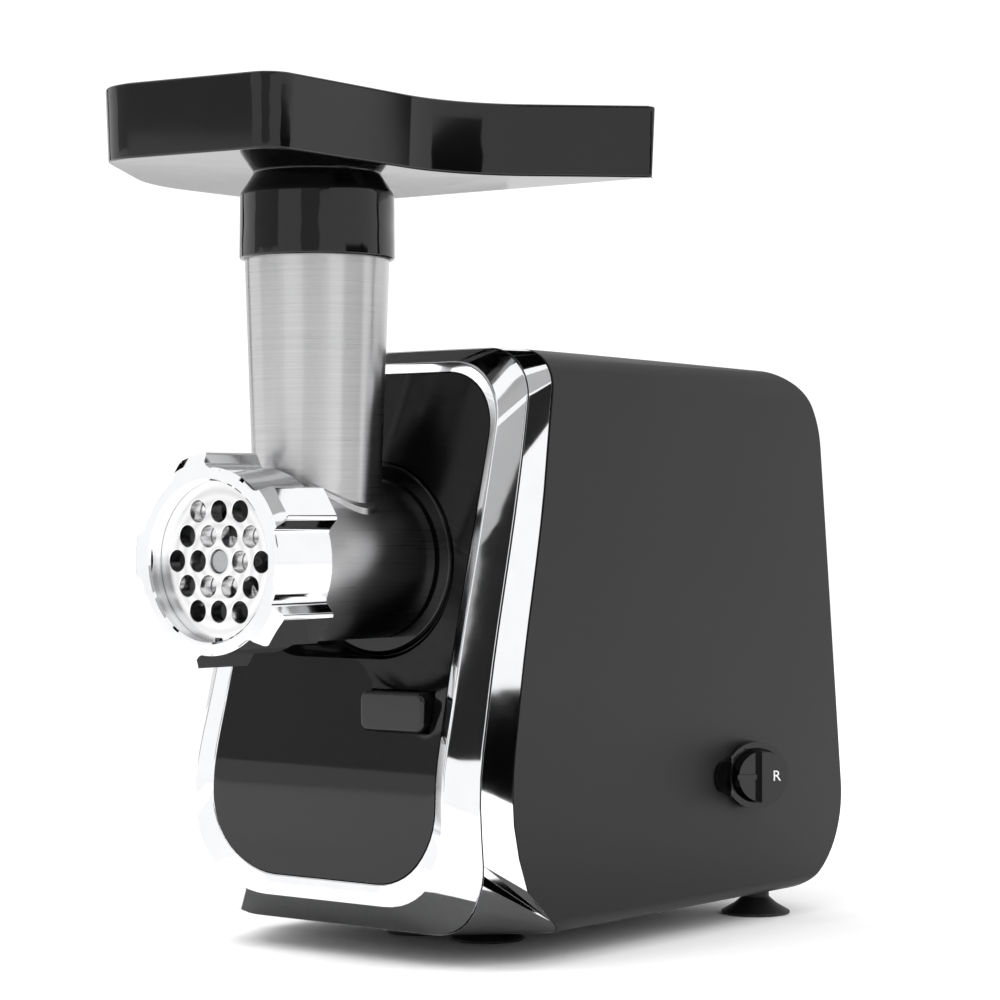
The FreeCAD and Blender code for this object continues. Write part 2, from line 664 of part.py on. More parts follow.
def lock_arm():
    reach = math.hypot(BUTTON_X, BUTTON_Z - AXIS_Z)
    arm = box(LOCK_RADIUS - 1.6, reach + 4, -63.4, -61.0, -3.5, 3.5)
    pin = rod(1.8, -72, -63.0, LOCK_RADIUS, 0)
    return toward_button(arm.fuse(pin))


def button_guide():
    plate = box(BUTTON_X - 10, BUTTON_X + 10, -84, -81.5, BUTTON_Z - 10, BUTTON_Z + 9)
    leg = box(BUTTON_X + 4, BUTTON_X + 9.9, -81.6, -54, BUTTON_Z - 10, BUTTON_Z - 7)
    return plate.fuse(leg).cut(rod(3.4, -90, -70, BUTTON_X, BUTTON_Z))


def coil(radius, wire_r, y0, y1, turns, x, z):
    """Coil spring along Y, closed by flat wire ends."""
    steps = 14 * turns
    rings = []
    for i in range(steps + 1):
        share = i / steps
        degrees = 360 * turns * share
        y = y0 + wire_r + (y1 - y0 - 2 * wire_r) * share
        section = [(radius + wire_r * math.cos(k * math.pi / 3), wire_r * math.sin(k * math.pi / 3))
                   for k in range(6)]
        rings.append([polar(x, z, r, degrees, y + dy) for r, dy in section])
    return skin(rings, False)


# ---- gearbox -----------------------------------------------------------------------------
GEARBOX_OUTLINE = [(-40, 55, 12), (40, 55, 12), (40, 171, 14), (-40, 171, 14)]
GEARBOX_SCREWS = [(side * 37.5, z) for side in (-1, 1) for z in (66, 113, 155)]
BRACKET_REACH = 28.5


def gear_housing():
    shell = prism(GEARBOX_OUTLINE, on_front(-50), V(0, 36, 0))
    room = prism(inset_corners(GEARBOX_OUTLINE, 5), on_front(-51), V(0, 34, 0))
    boss = rod(14, -17, -8)
    front_boss = rod(12, -17, -6, 0, ROTOR_Z)
    shell = joined([shell.cut(room), boss, front_boss])
    cuts = [rod(11, -20, -9.5), rod(8, -20, -7, 0, ROTOR_Z), rod(3.0, -16.5, -10, 0, IDLER_Z)]
    cuts.append(rod(5.0, -20, 0, 0, ROTOR_Z))
    cuts += [rod(1.5, -51, -30, x, z) for x, z in GEARBOX_SCREWS]
    cuts += [rod(1.5, -20, -10, 0, ROTOR_Z + side * BRACKET_REACH) for side in (-1, 1)]
    cuts.append(rod(3.0, -18, -15.5, 0, IDLER_Z))
    return shell.cut(cuts)


def gear_cover():
    plate = prism(GEARBOX_OUTLINE, on_front(-54), V(0, 4, 0)).fuse(rod(17, -51, -45.5))
    cuts = [rod(13, -55, -45), rod(3.0, -52.5, -49, 0, IDLER_Z)]
    cuts += [rod(1.7, -55, -49, x, z) for x, z in GEARBOX_SCREWS]
    return plate.cut(cuts)


def output_shaft():
    shaft = turned([(0, -61), (9.5, -61), (9.5, -44), (8, -44), (8, -10), (0, -10)])
    return shaft.cut(hexagon(HEX_AF + 0.35, -62, -48.5))


def output_gear():
    wheel = gear(OUT_MODULE, OUT_TEETH, -42, -32, AXIS_Z, -90 + 180 / OUT_TEETH, 0.6)
    web = tube(25, 13, -43, -39.5).fuse(tube(25, 13, -34.5, -31))
    return wheel.cut(web).cut(rod(8.0, -43, -31))


def idler_gear():
    small = gear(OUT_MODULE, IDLER_PINION_TEETH, -42.5, -31.5, IDLER_Z, 90, 1.0)
    large = gear(IN_MODULE, IDLER_TEETH, -30, -22, IDLER_Z, -90 + 180 / IDLER_TEETH, 0.5)
    hub = rod(5.6, -45, -20, 0, IDLER_Z)
    return joined([small, large, hub]).cut(rod(3.05, -46, -19, 0, IDLER_Z))


def idler_pin():
    return rod(3.0, -52.4, -15.6, 0, IDLER_Z)


def motor_pinion():
    return gear(IN_MODULE, MOTOR_PINION_TEETH, -31, -21, ROTOR_Z, 90, 1.0).cut(
        rod(2.5, -32, -20, 0, ROTOR_Z))


# ---- motor -------------------------------------------------------------------------------
def rotor_shaft():
    return turned([(0, -31.5), (2.5, -31.5), (2.5, -20), (3.98, -20), (3.98, 80), (0, 80)],
                  ROTOR_Z)


def rotor_core():
    core = tube(14.2, 4.0, 12, 50, 0, ROTOR_Z)
    slots = []
    for i in range(12):
        centre = polar(0, ROTOR_Z, 12.0, 30 * i, 0)
        slots.append(rod(1.6, 11, 51, centre.x, centre.z))
    return core.cut(slots)


def rotor_windings():
    ends = [turned([(4.3, y), (11.0, y), (13.4, y + 2), (13.4, y + 3.9), (4.3, y + 3.9)], ROTOR_Z)
            for y in (50.1,)]
    ends.append(turned([(4.3, 8), (4.3, 11.9), (13.4, 11.9), (13.4, 10), (11, 8)], ROTOR_Z))
    return Part.makeCompound(ends)


def commutator():
    drum = tube(10.0, 4.0, 56, 69, 0, ROTOR_Z)
    slits = []
    for i in range(12):
        slit = box(8.6, 11, 57.5, 70, -0.25, 0.25)
        slit.rotate(V(0, 0, 0), V(0, 1, 0), 30 * i)
        slit.translate(V(0, 0, ROTOR_Z))
        slits.append(slit)
    return drum.cut(slits)


def cooling_fan():
    pieces = [tube(8, 4.0, -4.5, 5, 0, ROTOR_Z), tube(25, 7, 3.2, 5, 0, ROTOR_Z)]
    for i in range(9):
        blade = box(7, 24.5, -3.5, 4, -0.7, 0.7)
        blade.rotate(V(7, 0, 0), V(0, 1, 0), 14)
        blade.rotate(V(0, 0, 0), V(0, 1, 0), 40 * i)
        blade.translate(V(0, 0, ROTOR_Z))
        pieces.append(blade)
    return joined(pieces)


def stator_core():
    frame = rod(31.5, 12, 50, 0, ROTOR_Z).common(
        box(-27, 27, 12, 50, ROTOR_Z - 31.5, ROTOR_Z + 31.5))
    slots = rod(24, 11, 51, 0, ROTOR_Z).cut(
        box(-13.2, 13.2, 10, 52, ROTOR_Z - 25, ROTOR_Z + 25))
    screws = [rod(1.8, 11, 51, 0, ROTOR_Z + side * BRACKET_REACH) for side in (-1, 1)]
    return frame.cut([slots, rod(15, 11, 51, 0, ROTOR_Z)] + screws)


def field_coil(side):
    """One field coil, wound round the upper (+1) or lower (-1) pole."""
    ring = tube(23.3, 16.6, 6.5, 55.5, 0, ROTOR_Z)
    low, high = sorted((ROTOR_Z + side * 1.2, ROTOR_Z + side * 30))
    half = ring.common(box(-30, 30, 0, 60, low, high))
    return half.cut(box(-13.8, 13.8, 11.4, 50.6, low, high))


def motor_bracket():
    bar = box(-10, 10, 73, 77, ROTOR_Z - 31, ROTOR_Z + 31)
    legs = [box(-10, 10, 50.1, 73.5, z, z + 5) for z in (ROTOR_Z - 31, ROTOR_Z + 26)]
    bracket = joined([bar, rod(10, 70, 79, 0, ROTOR_Z)] + legs)
    holes = [rod(1.8, 49, 80, 0, ROTOR_Z + side * BRACKET_REACH) for side in (-1, 1)]
    return bracket.cut([rod(7, 71.5, 80, 0, ROTOR_Z), rod(4.6, 69, 80, 0, ROTOR_Z)] + holes)


def motor_screw(side):
    z = ROTOR_Z + side * BRACKET_REACH
    return rod(3.0, 77.0, 79.5, 0, z).fuse(rod(1.5, -13.9, 77.1, 0, z))


def brush_holder(side):
    low, high = sorted((side * 11.2, side * 29))
    case = box(low, high, 57.5, 67.5, ROTOR_Z - 5, ROTOR_Z + 5)
    return case.cut(box(low - 1, high - 2 * (side > 0) + 1, 59.3, 65.7, ROTOR_Z - 3.2,
                        ROTOR_Z + 3.2))


def carbon_brush(side):
    low, high = sorted((side * 10.3, side * 22))
    return box(low, high, 59.4, 65.6, ROTOR_Z - 3.1, ROTOR_Z + 3.1)


# ---- switch, board, cord inlet -----------------------------------------------------------
def toward_user(shape):
    """Place a shape made along +X about the origin on the knob's turned axis."""
    placed = shape.copy()
    placed.rotate(V(0, 0, 0), V(0, 0, 1), -KNOB_TILT)
    placed.translate(V(KNOB_X, KNOB_Y, KNOB_Z))
    return placed


def rotary_switch():
    return toward_user(box(-35, -19, -10, 10, -10, 10).cut(peg(3.3, -33, -18, 0, 0)))


def knob_bezel():
    disc = toward_user(peg(BEZEL_R, -20, 0, 0, 0))
    lobe_top = 69.6
    lobe = peg(LOBE_R, 60, lobe_top, LOBE_Y, KNOB_Z)
    root_y = KNOB_Y + 3
    root_half = BEZEL_R - 0.4
    bridge = prism([(LOBE_Y, KNOB_Z - LOBE_R, 0), (root_y, KNOB_Z - root_half, 0),
                    (root_y, KNOB_Z + root_half, 0), (LOBE_Y, KNOB_Z + LOBE_R, 0)],
                   on_side(60), V(lobe_top - 60, 0, 0))
    marker = peg(1.2, lobe_top - 0.6, 75, LOBE_Y - 1, KNOB_Z)
    knob_space = toward_user(peg(10.6, 0.0, 12, 0, 0))
    return joined([disc, lobe, bridge]).cut(
        [BODY_SOLID, toward_user(peg(5.0, -21, 4, 0, 0)), knob_space, marker])


def switch_knob():
    skirt = Part.makeCone(9.9, 9.1, 4.2, V(0.4, 0, 0), V(1, 0, 0))
    crown = peg(9.1, 4.5, 5.4, 0, 0)
    grip = box(5.0, 8.6, -1.6, 1.6, -9.0, 9.0).common(peg(9.1, 0, 20, 0, 0))
    pointer = box(0.6, 6.1, -9.9, -1, -0.9, 0.9)
    spindle = peg(3.0, -32, 1, 0, 0)
    return toward_user(joined([skirt, crown, grip, pointer, spindle]))


def circuit_board():
    return box(-51.6, -50, 2, 50, BASE_Z + BASE_T, 72)


def board_components():
    return Part.makeCompound([box(-49.9, -38, 6, 24, 22, 42), box(-49.9, -42, 30, 44, 24, 50),
                              peg(6, -49.9, -34, 14, 56), box(-49.9, -46, 28, 46, 56, 66)])


def cord_bushing():
    """Rubber bushing in the rear wall that the mains lead passes through."""
    body = rod(6.5, 98, 110, GLAND_X, GLAND_Z).fuse(rod(9.5, 104, 109.5, GLAND_X, GLAND_Z).cut(
        body_profile(0)))
    inner_lip = rod(8.5, 97, 99.5, GLAND_X, GLAND_Z)
    return joined([body, inner_lip]).cut(rod(3.5, 90, 115, GLAND_X, GLAND_Z))


# ---- write every sub-part ----------------------------------------------------------------
export("main_housing", main_housing())
export("front_fascia", front_fascia())
export("chrome_frame", chrome_frame())
export("chrome_side_band", chrome_side_band())
export("socket_collar", socket_collar())
export("head_socket", head_socket())
export("base_plate", base_plate())
export("base_screws", Part.makeCompound([screw_up(x, y) for x, y in BASE_SCREWS]))
FOOT_SEATS = [(BASE_Z, BASE_T)] * 2 + [(BODY_BOTTOM_Z, BODY_WALL + 0.4)] * 2
for foot_name, (foot_x, foot_y), seat in zip(FOOT_NAMES, FEET, FOOT_SEATS):
    export(foot_name, foot(foot_x, foot_y, *seat))

export("head_casting", head_casting())
export("plate_key", plate_key())
export("screw_bush", screw_bush())
export("grinding_plate", grinding_plate())
export("cutting_blade", cutting_blade())
export("feed_screw", feed_screw())
export("screw_washer", screw_washer())
export("ring_nut", ring_nut())
export("food_tray", food_tray())

export("release_button", release_button())
export("lock_arm", lock_arm())
export("button_guide", button_guide())
export("button_spring", coil(4.4, 0.45, -103.4, -84.1, 6, BUTTON_X, BUTTON_Z))

export("gear_housing", gear_housing())
export("gear_cover", gear_cover())
export("gearbox_screws", Part.makeCompound(
    [rod(2.8, -56, -54, x, z).fuse(rod(1.5, -54, -32, x, z)) for x, z in GEARBOX_SCREWS]))
export("output_bearing_front", tube(13, 9.56, -54, -46))
export("output_bearing_rear", tube(11, 8.06, -17, -9.5))
export("output_shaft", output_shaft())
export("output_gear", output_gear())
export("idler_pin", idler_pin())
export("idler_gear", idler_gear())
export("motor_pinion", motor_pinion())

export("rotor_shaft", rotor_shaft())
export("rotor_core", rotor_core())
export("rotor_windings", rotor_windings())
export("commutator", commutator())
export("cooling_fan", cooling_fan())
export("rotor_bearing_front", tube(8, 4.04, -15, -7, 0, ROTOR_Z))
export("rotor_bearing_rear", tube(7, 4.04, 71.5, 79, 0, ROTOR_Z))
export("stator_core", stator_core())
export("motor_bracket", motor_bracket())
export("motor_screws", Part.makeCompound([motor_screw(-1), motor_screw(1)]))
export("motor_mount", box(-10, 10, 55, 66, 20, ROTOR_Z - 31))
for coil_name, coil_side in (("field_coil_upper", 1), ("field_coil_lower", -1)):
    export(coil_name, field_coil(coil_side))
for side_name, side_sign in (("left", -1), ("right", 1)):
    export("brush_holder_" + side_name, brush_holder(side_sign))
    export("carbon_brush_" + side_name, carbon_brush(side_sign))

export("rotary_switch", rotary_switch())
export("knob_bezel", knob_bezel())
export("switch_knob", switch_knob())
export("circuit_board", circuit_board())
export("board_components", board_components())
export("cord_bushing", cord_bushing())
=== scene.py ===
import bpy
import bmesh
import json
import math
from mathutils import Matrix, Vector

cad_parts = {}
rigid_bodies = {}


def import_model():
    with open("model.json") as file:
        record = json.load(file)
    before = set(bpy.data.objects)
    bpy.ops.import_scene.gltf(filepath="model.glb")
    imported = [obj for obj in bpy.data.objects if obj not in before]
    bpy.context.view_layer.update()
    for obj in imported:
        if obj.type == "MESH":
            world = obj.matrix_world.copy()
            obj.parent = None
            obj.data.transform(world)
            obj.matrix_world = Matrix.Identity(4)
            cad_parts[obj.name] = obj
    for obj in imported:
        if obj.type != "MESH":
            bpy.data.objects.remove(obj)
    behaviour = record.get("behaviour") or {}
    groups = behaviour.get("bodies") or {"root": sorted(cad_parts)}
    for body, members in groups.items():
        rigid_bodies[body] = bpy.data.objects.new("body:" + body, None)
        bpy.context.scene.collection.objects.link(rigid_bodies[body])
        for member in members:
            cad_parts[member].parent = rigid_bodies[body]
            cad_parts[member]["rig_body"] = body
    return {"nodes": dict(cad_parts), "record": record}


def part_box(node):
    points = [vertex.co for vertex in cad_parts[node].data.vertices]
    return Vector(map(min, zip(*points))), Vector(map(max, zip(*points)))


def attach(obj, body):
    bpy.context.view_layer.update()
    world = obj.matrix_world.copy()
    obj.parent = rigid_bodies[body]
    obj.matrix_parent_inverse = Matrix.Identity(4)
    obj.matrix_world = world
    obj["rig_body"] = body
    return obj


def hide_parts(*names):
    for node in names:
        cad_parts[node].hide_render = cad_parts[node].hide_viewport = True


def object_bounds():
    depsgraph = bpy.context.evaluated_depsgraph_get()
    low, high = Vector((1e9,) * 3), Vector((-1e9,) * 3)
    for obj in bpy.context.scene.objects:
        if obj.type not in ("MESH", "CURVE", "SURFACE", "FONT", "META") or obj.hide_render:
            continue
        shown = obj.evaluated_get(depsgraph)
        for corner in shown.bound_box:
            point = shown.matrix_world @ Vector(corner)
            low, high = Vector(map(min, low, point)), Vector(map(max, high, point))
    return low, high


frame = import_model()
cad_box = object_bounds()

# ---- camera and studio -------------------------------------------------------------------
# A long lens at table height, a little to the right of the mouth, as for a catalogue picture.
# The sweep is white and matt; dark and grey cards out of view draw the bands that polished
# chrome and gloss plastic need, and the lamps only fill the matt surfaces.
EYE = Vector((0.6362, -0.8248, 0.1485))
TURN = math.radians(38.2)
TILT = math.radians(0.30)
camera_data = bpy.data.cameras.new("camera")
camera_data.lens = 102.6
camera_data.sensor_width = 36.0
camera_data.clip_end = 50.0
camera = bpy.data.objects.new("camera", camera_data)
bpy.context.scene.collection.objects.link(camera)
gaze = Vector((-math.sin(TURN), math.cos(TURN), math.tan(TILT)))
camera.rotation_euler = gaze.to_track_quat("-Z", "Y").to_euler()
camera.location = EYE
bpy.context.scene.camera = camera
bpy.context.scene.view_settings.view_transform = "Standard"


def linear(hex_colour):
    """sRGB hex to a linear colour with alpha."""
    channels = [int(hex_colour[i:i + 2], 16) / 255 for i in (1, 3, 5)]
    return [c / 12.92 if c <= 0.04045 else ((c + 0.055) / 1.055) ** 2.4 for c in channels] + [1.0]


def add(tree, kind, settings=None, links=None):
    """Add one node; links maps an input to a value or to the output that feeds it."""
    node = tree.nodes.new(kind)
    for name, value in (settings or {}).items():
        setattr(node, name, value)
    for socket, source in (links or {}).items():
        if isinstance(source, bpy.types.NodeSocket):
            tree.links.new(source, node.inputs[socket])
        else:
            node.inputs[socket].default_value = source
    return node


def start_material(name):
    material = bpy.data.materials.new(name)
    material.use_nodes = True
    material.node_tree.nodes.clear()
    return material, material.node_tree


def close_material(material, shader):
    tree = material.node_tree
    add(tree, "ShaderNodeOutputMaterial", {}, {"Surface": shader.outputs["BSDF"]})
    return material


def sweep_paper():
    """Matt white background paper; its fibre is far too fine to see, so it is drawn at 4 mm."""
    material, tree = start_material("sweep_paper")
    place = add(tree, "ShaderNodeTexCoord")
    fibre = add(tree, "ShaderNodeTexNoise", {}, {"Vector": place.outputs["Object"],
                                                 "Scale": 1 / 0.004, "Detail": 2.0})
    tone = add(tree, "ShaderNodeMix", {"data_type": "RGBA"},
               {0: fibre.outputs["Fac"], 6: linear("#fafafa"), 7: linear("#fdfdfd")})
    shader = add(tree, "ShaderNodeBsdfPrincipled", {}, {"Base Color": tone.outputs[2],
                                                        "Roughness": 0.9, "IOR": 1.45})
    return close_material(material, shader)


def flat_card(name, width, height, centre, look_at, material):
    """A stage card that faces a point; only reflections see it."""
    mesh = bpy.data.meshes.new(name)
    w = width / 2
    h = height / 2
    mesh.from_pydata([(-w, -h, 0), (w, -h, 0), (w, h, 0), (-w, h, 0)], [], [(0, 1, 2, 3)])
    card = bpy.data.objects.new(name, mesh)
    bpy.context.scene.collection.objects.link(card)
    card.location = centre
    facing = Vector(look_at) - Vector(centre)
    card.rotation_euler = facing.to_track_quat("Z", "Y").to_euler()
    card.visible_camera = False
    card.visible_diffuse = False
    card.visible_shadow = False
    mesh.materials.append(material)
    return card


def studio_felt(name, dark, light):
    """Felt over a board: no shine at all, with a nap of about 3 mm."""
    material, tree = start_material(name)
    place = add(tree, "ShaderNodeTexCoord")
    nap = add(tree, "ShaderNodeTexNoise", {}, {"Vector": place.outputs["Object"],
                                               "Scale": 1 / 0.003})
    tone = add(tree, "ShaderNodeMix", {"data_type": "RGBA"},
               {0: nap.outputs["Fac"], 6: linear(dark), 7: linear(light)})
    shader = add(tree, "ShaderNodeBsdfPrincipled", {}, {"Base Color": tone.outputs[2],
                                                        "Roughness": 1.0,
                                                        "Specular IOR Level": 0.0})
    return close_material(material, shader)


FLOOR_RADIUS = 12.0
FOOT_CLEARANCE = 0.0002
floor_mesh = bpy.data.meshes.new("sweep_floor")
floor_shape = bmesh.new()
bmesh.ops.create_circle(floor_shape, cap_ends=True, radius=FLOOR_RADIUS, segments=96)
floor_shape.to_mesh(floor_mesh)
floor_shape.free()
floor_mesh.materials.append(sweep_paper())
floor = bpy.data.objects.new("sweep_floor", floor_mesh)
bpy.context.scene.collection.objects.link(floor)
floor.location.z = cad_box[0].z - FOOT_CLEARANCE

world = bpy.data.worlds.new("studio")
bpy.context.scene.world = world
world.use_nodes = True
world.node_tree.nodes.clear()
sky = add(world.node_tree, "ShaderNodeBackground", {}, {"Color": [1, 1, 1, 1], "Strength": 1.12})
add(world.node_tree, "ShaderNodeOutputWorld", {}, {"Surface": sky.outputs["Background"]})

MIDDLE = Vector((0.0, -0.03, 0.14))


def from_middle(swing, rise, distance):
    """A place seen from the object: swing from the mouth towards the knob side, in degrees."""
    around = math.radians(swing)
    above = math.radians(rise)
    away = Vector((math.sin(around) * math.cos(above), -math.cos(around) * math.cos(above),
                   math.sin(above)))
    return MIDDLE + away * distance


black_felt = studio_felt("black_felt", "#020202", "#050505")
dark_felt = studio_felt("dark_felt", "#363636", "#3c3c3c")
grey_felt = studio_felt("grey_felt", "#989898", "#a0a0a0")
soot_felt = studio_felt("soot_felt", "#1c1c1c", "#222222")
slate_felt = studio_felt("slate_felt", "#545454", "#5c5c5c")
pale_felt = studio_felt("pale_felt", "#c8c8c8", "#d0d0d0")
# name, width, height, swing and rise in degrees, distance, felt
CARDS = [("card_before_mouth", 1.6, 0.94, -39, 20, 2.0, grey_felt),
         ("card_beside_camera", 0.9, 0.9, 30, 16, 2.0, grey_felt),
         ("card_right_front", 0.5, 0.7, 50, 22, 2.0, soot_felt),
         ("card_right", 1.4, 0.42, 100, 2, 2.0, black_felt),
         ("card_above_camera", 1.75, 0.75, 43, 45, 2.0, grey_felt),
         ("card_overhead", 1.3, 1.3, 20, 80, 2.0, black_felt),
         ("card_right_rear", 0.16, 1.5, 142, 12, 2.0, black_felt),
         ("card_rear_high", 2.0, 0.28, 170, 33, 2.0, dark_felt),
         ("card_left", 0.25, 1.6, -100, 14, 2.0, black_felt),
         ("card_left_rear", 1.3, 1.6, -125, 14, 2.0, pale_felt)]
for card_name, card_w, card_h, swing, rise, distance, felt in CARDS:
    flat_card(card_name, card_w, card_h, from_middle(swing, rise, distance), MIDDLE, felt)
# Two cards lie on the floor and face up.
CARD_LIFT = 0.0006
FLOOR_CARDS = [("card_under_mouth", 0.155, 0.065, 0.0175, -0.0925, slate_felt),
               ("card_right_of_ring", 0.07, 0.28, 0.135, 0.02, black_felt)]
for card_name, card_w, card_h, card_x, card_y, felt in FLOOR_CARDS:
    flat_card(card_name, card_w, card_h, (card_x, card_y, CARD_LIFT), (card_x, card_y, 1.0), felt)


def soft_box(name, width, height, centre, watts):
    """A large diffused lamp that lights matt surfaces and leaves no spot in the gloss."""
    light = bpy.data.lights.new(name, "AREA")
    light.shape = "RECTANGLE"
    light.size = width
    light.size_y = height
    light.energy = watts
    lamp = bpy.data.objects.new(name, light)
    bpy.context.scene.collection.objects.link(lamp)
    lamp.location = centre
    lamp.rotation_euler = (MIDDLE - centre).to_track_quat("-Z", "Y").to_euler()
    lamp.visible_camera = False
    lamp.visible_glossy = False


soft_box("key_box", 1.2, 1.2, from_middle(-30, 55, 1.9), 22.0)
soft_box("side_box", 0.9, 1.4, from_middle(95, 30, 1.9), 14.0)

# ---- housing -----------------------------------------------------------------------------
# One deep injection moulding in black ABS, open to the front and below. The tool is spark
# eroded, which gives the satin skin; the vents and holes are moulded in.
shown_nodes = []
SMOOTH_BELOW = math.radians(34)
FLAT_WITHIN = math.radians(0.4)
WELD_DISTANCE = 2e-6
EDGE_STEPS = 3           # facets across each rounded edge


def settle(piece):
    """Write the modifiers into the piece's own mesh."""
    settled = bpy.data.meshes.new_from_object(
        piece.evaluated_get(bpy.context.evaluated_depsgraph_get()))
    piece.modifiers.clear()
    piece.data = settled
    return settled


def finished(node, name, material, radius, sharp=32.0, merge=True):
    """Take a visible shell over from its CAD node and make it the piece that stands for it.

    Facets are welded, and edges that turn by more than `sharp` degrees get the small radius
    that a real tool leaves. `merge` joins coplanar facets first; concave rims do without.
    """
    mesh = frame["nodes"][node].data.copy()
    shape = bmesh.new()
    shape.from_mesh(mesh)
    bmesh.ops.remove_doubles(shape, verts=shape.verts, dist=WELD_DISTANCE)
    if merge:
        bmesh.ops.dissolve_limit(shape, angle_limit=FLAT_WITHIN, verts=shape.verts,
                                 edges=shape.edges, use_dissolve_boundaries=False)
    shape.to_mesh(mesh)
    shape.free()
    piece = bpy.data.objects.new(name, mesh)
    bpy.context.scene.collection.objects.link(piece)
    if radius > 0:
        edge = piece.modifiers.new("edge_radius", "BEVEL")
        edge.width = radius
        edge.segments = EDGE_STEPS
        edge.limit_method = "ANGLE"
        edge.angle_limit = math.radians(sharp)
        edge.miter_outer = "MITER_ARC"
        edge.use_clamp_overlap = merge
        mesh = settle(piece)
    mesh.materials.clear()
    mesh.materials.append(material)
    shape = bmesh.new()
    shape.from_mesh(mesh)
    for face in shape.faces:
        face.smooth = True
        face.material_index = 0
    for line in shape.edges:
        line.smooth = not line.is_manifold or line.calc_face_angle(0) < SMOOTH_BELOW
    shape.to_mesh(mesh)
    shape.free()
    flatten = piece.modifiers.new("flat_faces_stay_flat", "WEIGHTED_NORMAL")
    flatten.keep_sharp = True
    flatten.weight = 100
    settle(piece)
    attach(piece, frame["nodes"][node]["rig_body"])
    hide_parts(node)
    shown_nodes.append(node)
    return piece


def satin_abs():
    """Spark-eroded black ABS: grain of about 0.5 mm, dull sheen that varies a little."""
    material, tree = start_material("satin_abs")
    place = add(tree, "ShaderNodeTexCoord")
    cloud = add(tree, "ShaderNodeTexNoise", {}, {"Vector": place.outputs["Object"],
                                                 "Scale": 1 / 0.045, "Detail": 3.0})
    tone = add(tree, "ShaderNodeMix", {"data_type": "RGBA"},
               {0: cloud.outputs["Fac"], 6: linear("#1b1b1c"), 7: linear("#1f1f20")})
    grain = add(tree, "ShaderNodeTexNoise", {}, {"Vector": place.outputs["Object"],
                                                 "Scale": 1 / 0.0005, "Detail": 2.0})
    dull = add(tree, "ShaderNodeMapRange", {}, {"Value": grain.outputs["Fac"],
                                                "To Min": 0.40, "To Max": 0.48})
    relief = add(tree, "ShaderNodeBump", {}, {"Height": grain.outputs["Fac"],
                                              "Strength": 0.12, "Distance": 0.00004})
    shader = add(tree, "ShaderNodeBsdfPrincipled", {},
                 {"Base Color": tone.outputs[2], "Roughness": dull.outputs["Result"],
                  "Normal": relief.outputs["Normal"], "IOR": 1.5,
                  "Specular IOR Level": 0.24})
    return close_material(material, shader)


finished("main_housing", "housing_shell", satin_abs(), 0.0, merge=False)

# ---- fascia, collar and button -----------------------------------------------------------
# The front panel, the ring round the socket, the release button and the knob with its bezel
# are gloss black ABS from polished tools. The panel is clipped in behind the bright frame.


def gloss_abs():
    """Polished black ABS: mirror gloss with the faint waviness that cooling leaves."""
    material, tree = start_material("gloss_abs")
    place = add(tree, "ShaderNodeTexCoord")
    sink = add(tree, "ShaderNodeTexNoise", {}, {"Vector": place.outputs["Object"],
                                                "Scale": 1 / 0.030, "Detail": 1.0})
    tone = add(tree, "ShaderNodeMix", {"data_type": "RGBA"},
               {0: sink.outputs["Fac"], 6: linear("#060607"), 7: linear("#09090a")})
    haze = add(tree, "ShaderNodeTexNoise", {}, {"Vector": place.outputs["Object"],
                                                "Scale": 1 / 0.012, "Detail": 4.0})
    dull = add(tree, "ShaderNodeMapRange", {}, {"Value": haze.outputs["Fac"],
                                                "To Min": 0.05, "To Max": 0.09})
    relief = add(tree, "ShaderNodeBump", {}, {"Height": sink.outputs["Fac"],
                                              "Strength": 0.1, "Distance": 0.0001})
    shader = add(tree, "ShaderNodeBsdfPrincipled", {},
                 {"Base Color": tone.outputs[2], "Roughness": dull.outputs["Result"],
                  "Normal": relief.outputs["Normal"], "IOR": 1.5,
                  "Specular IOR Level": 0.42})
    return close_material(material, shader)


gloss = gloss_abs()
finished("front_fascia", "fascia_panel", gloss, 0.0005)
finished("socket_collar", "socket_ring", gloss, 0.0004)
finished("release_button", "release_key", gloss, 0.0012)

# ---- bright frame and side band ----------------------------------------------------------
# Two ABS mouldings plated with bright chrome: a bevelled frame round the panel and a band that
# wraps on to the sides. The plating is a true mirror with the softest orange peel.


def bright_chrome(name, peel_depth):
    """Chrome plate on plastic or steel: mirror polish, ripples of about 8 mm, no grain."""
    material, tree = start_material(name)
    place = add(tree, "ShaderNodeTexCoord")
    peel = add(tree, "ShaderNodeTexNoise", {}, {"Vector": place.outputs["Object"],
                                                "Scale": 1 / 0.008, "Detail": 1.0})
    tone = add(tree, "ShaderNodeMix", {"data_type": "RGBA"},
               {0: peel.outputs["Fac"], 6: linear("#e9eaec"), 7: linear("#f0f0f1")})
    dull = add(tree, "ShaderNodeMapRange", {}, {"Value": peel.outputs["Fac"],
                                                "To Min": 0.03, "To Max": 0.07})
    relief = add(tree, "ShaderNodeBump", {}, {"Height": peel.outputs["Fac"],
                                              "Strength": 0.2, "Distance": peel_depth})
    shader = add(tree, "ShaderNodeBsdfPrincipled", {},
                 {"Base Color": tone.outputs[2], "Metallic": 1.0,
                  "Roughness": dull.outputs["Result"], "Normal": relief.outputs["Normal"]})
    return close_material(material, shader)


plated_abs = bright_chrome("plated_abs", 0.00004)
finished("chrome_frame", "bright_frame", plated_abs, 0.0007, 20.0)
finished("chrome_side_band", "bright_side_band", plated_abs, 0.0005, 24.0)

# ---- screw head --------------------------------------------------------------------------
# Barrel and feed tube are one stainless casting, brushed along the tube's girth and along the
# barrel. The ring nut is a plated casting; plate and knife are ground tool steel.


